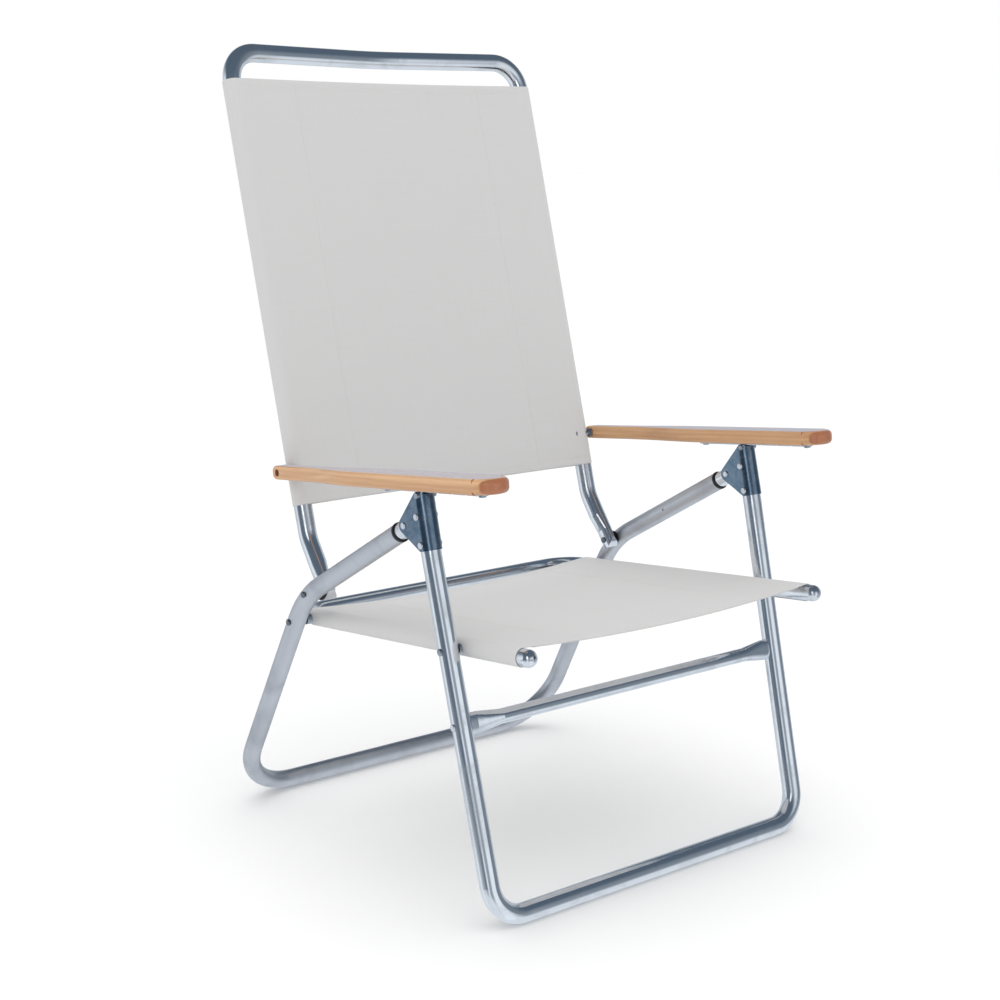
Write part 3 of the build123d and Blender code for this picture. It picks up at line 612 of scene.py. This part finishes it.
front_run = side_direction("front_leg_frame")
for frame_name, look_name, run, bar, rough in (
    ("front_leg_frame", "polished_front_tube", front_run, FRONT_BAR, 0.13),
    ("back_frame", "polished_back_tube", back_plan.run, BACK_BAR, 0.14),
    ("seat_frame", "polished_seat_rail", seat_plan.run, SEAT_BAR, 0.16),
):
    paint([frame_name], metal_look(look_name, [(run, None), (X, bars_inside(bar))], POLISHED, rough))
paint(["front_cross_bar"], metal_look("polished_cross_bar", [(X, None)], POLISHED, 0.12))
paint(["left_slide_tube", "right_slide_tube"],
      metal_look("polished_slide_tube", [(slide_axis, None)], POLISHED, 0.13))
paint(["rear_leg_frame"], metal_look(
    "satin_rear_tube",
    [(Vector((0, 0.46, -0.89)), None), (slide_axis, above(REAR_KNEE)), (X, bars_inside(REAR_BAR))],
    SATIN, 0.40, smudge=0.10, line_depth=8e-6))
paint(["left_bracket", "right_bracket"], zinc_look())
paint(["cross_bar_rivets", "bracket_rivets", "slide_pivot_rivets"],
      fastener_look("bright_rivet", (0.74, 0.76, 0.80, 1), 0.16, (0.58, 0.60, 0.64, 1)))
paint(["arm_catch_pins", "seat_front_pivot_bolts", "left_arm_pivot_bolt", "right_arm_pivot_bolt",
       "left_arm_screws", "right_arm_screws", "arm_pivot_washers", "seat_pivot_washers"],
      fastener_look("zinc_fastener", (0.40, 0.45, 0.51, 1), 0.22, (0.26, 0.29, 0.33, 1)))
paint(["left_arm_rack", "right_arm_rack"],
      metal_look("zinc_rack_strip", [(arm_along, None)], (0.58, 0.62, 0.68, 1), 0.24))
paint(["seat_rear_pivot_bolts", "back_pivot_bolts"],
      fastener_look("dark_zinc_bolt", (0.16, 0.18, 0.21, 1), 0.24, (0.28, 0.30, 0.33, 1)))
paint(["tube_end_rings", "back_pivot_washers"], nylon_look())
paint(["left_armrest", "right_armrest"], wood_look(arm_along, arm_up))


# ---------------------------------------------------------------- floor, light and camera
def make_floor():
    mesh = bpy.data.meshes.new("studio_floor")
    half = 60.0
    corners = [(-half, -half, 0), (half, -half, 0), (half, half, 0), (-half, half, 0)]
    mesh.from_pydata(corners, [], [(0, 1, 2, 3)])
    look = Look("pale_floor", Roughness=0.7)
    look.set("Base Color", look.mix(look.noise(3.0), grey(0.93), grey(0.94)))
    look.set("Specular IOR Level", 0.15)
    mesh.materials.append(look.material)
    floor = bpy.data.objects.new("studio_floor", mesh)
    bpy.context.scene.collection.objects.link(floor)
    floor.visible_glossy = False


def area_light(name, place, target, size, power):
    lamp = bpy.data.lights.new(name, "AREA")
    lamp.shape = "RECTANGLE"
    lamp.size, lamp.size_y = size
    lamp.energy = power
    light = bpy.data.objects.new(name, lamp)
    light.location = place
    light.rotation_euler = (Vector(place) - Vector(target)).to_track_quat("Z", "Y").to_euler()
    bpy.context.scene.collection.objects.link(light)


def overhead_sun(strength):
    """A wide soft light from straight above, which lays the faint shadow under the chair."""
    lamp = bpy.data.lights.new("overhead", "SUN")
    lamp.energy = strength
    lamp.angle = math.radians(70)
    light = bpy.data.objects.new("overhead", lamp)
    light.visible_glossy = False
    bpy.context.scene.collection.objects.link(light)


# reflected studio: (azimuth from the camera, half width, share of light taken) of upright dark flags
FLAGS = (
    (-45.0, 36.0, 0.95),
    (12.0, 18.0, 0.70),
    (97.0, 36.0, 0.85),
    (165.0, 40.0, 0.40),
    (-140.0, 45.0, 0.30),
)
DARK = (0.09, 0.125, 0.17, 1)
BRIGHT = (0.90, 0.95, 1.00, 1)
CAMERA_AZIMUTH = -38.46
CAMERA_ELEVATION = 11.31
CAMERA_PLACE = (-1.4966, -1.8531, 0.9353)
CAMERA_LENS = 62.35


def make_world():
    world = bpy.data.worlds.new("studio")
    bpy.context.scene.world = world
    world.use_nodes = True
    tree = world.node_tree
    tree.nodes.clear()

    def add(kind, inputs=(), **settings):
        node = tree.nodes.new("ShaderNode" + kind)
        for key, value in settings.items():
            setattr(node, key, value)
        for key, value in dict(inputs).items():
            if isinstance(value, bpy.types.NodeSocket):
                tree.links.new(value, node.inputs[key])
            else:
                node.inputs[key].default_value = value
        return node

    def smooth(value, low, high, to_low, to_high):
        inputs = {"Value": value, "From Min": low, "From Max": high, "To Min": to_low, "To Max": to_high}
        return add("MapRange", inputs, interpolation_type="SMOOTHSTEP").outputs["Result"]

    look_way = add("TexCoord").outputs["Generated"]
    level = add("VectorMath", {0: look_way, 1: (1, 1, 0)}, operation="MULTIPLY").outputs[0]
    level = add("VectorMath", {0: level}, operation="NORMALIZE").outputs[0]
    height = add("SeparateXYZ", {0: look_way}).outputs["Z"]
    light = smooth(height, 0.10, 0.62, 1.0, 0.0)
    for azimuth, half_width, taken in FLAGS:
        turn = math.radians(CAMERA_AZIMUTH + azimuth)
        flag = (math.sin(turn), -math.cos(turn), 0.0)
        facing = add("VectorMath", {0: level, 1: flag}, operation="DOT_PRODUCT").outputs["Value"]
        edge = math.cos(math.radians(half_width))
        soft = math.cos(math.radians(half_width * 0.55))
        shade = smooth(facing, edge, soft, 1.0, 1.0 - taken)
        light = add("Math", {0: light, 1: shade}, operation="MULTIPLY").outputs[0]
    bounce = smooth(height, -0.50, -0.08, 0.85, 0.0)
    light = add("Math", {0: light, 1: bounce}, operation="MAXIMUM").outputs[0]
    studio = add("Mix", data_type="RGBA")
    tree.links.new(light, studio.inputs[0])
    studio.inputs[6].default_value = DARK
    studio.inputs[7].default_value = BRIGHT
    rays = add("LightPath")
    fill = add("Background", {"Color": (1, 1, 1, 1), "Strength": 0.96})
    mirror = add("Background", {"Color": studio.outputs[2], "Strength": 1.0})
    backdrop = add("Background", {"Color": (1, 1, 1, 1), "Strength": 1.0})
    seen = add("MixShader", {0: rays.outputs["Is Glossy Ray"], 1: fill.outputs[0], 2: mirror.outputs[0]})
    final = add("MixShader", {0: rays.outputs["Is Camera Ray"], 1: seen.outputs[0], 2: backdrop.outputs[0]})
    add("OutputWorld", {"Surface": final.outputs[0]})


def make_camera():
    turn, tilt = math.radians(CAMERA_AZIMUTH), math.radians(CAMERA_ELEVATION)
    back = Vector((math.sin(turn) * math.cos(tilt), -math.cos(turn) * math.cos(tilt), math.sin(tilt)))
    lens = bpy.data.cameras.new("camera")
    lens.lens = CAMERA_LENS
    lens.sensor_width = 36.0
    camera = bpy.data.objects.new("camera", lens)
    camera.location = CAMERA_PLACE
    camera.rotation_euler = back.to_track_quat("Z", "Y").to_euler()
    bpy.context.scene.collection.objects.link(camera)
    bpy.context.scene.camera = camera


make_floor()
make_world()
overhead_sun(0.68)
area_light("front_left", (-2.6, -2.2, 1.8), (0, 0, 0.5), (0.9, 1.8), 7.0)
make_camera()
bpy.context.scene.view_settings.view_transform = "Standard"
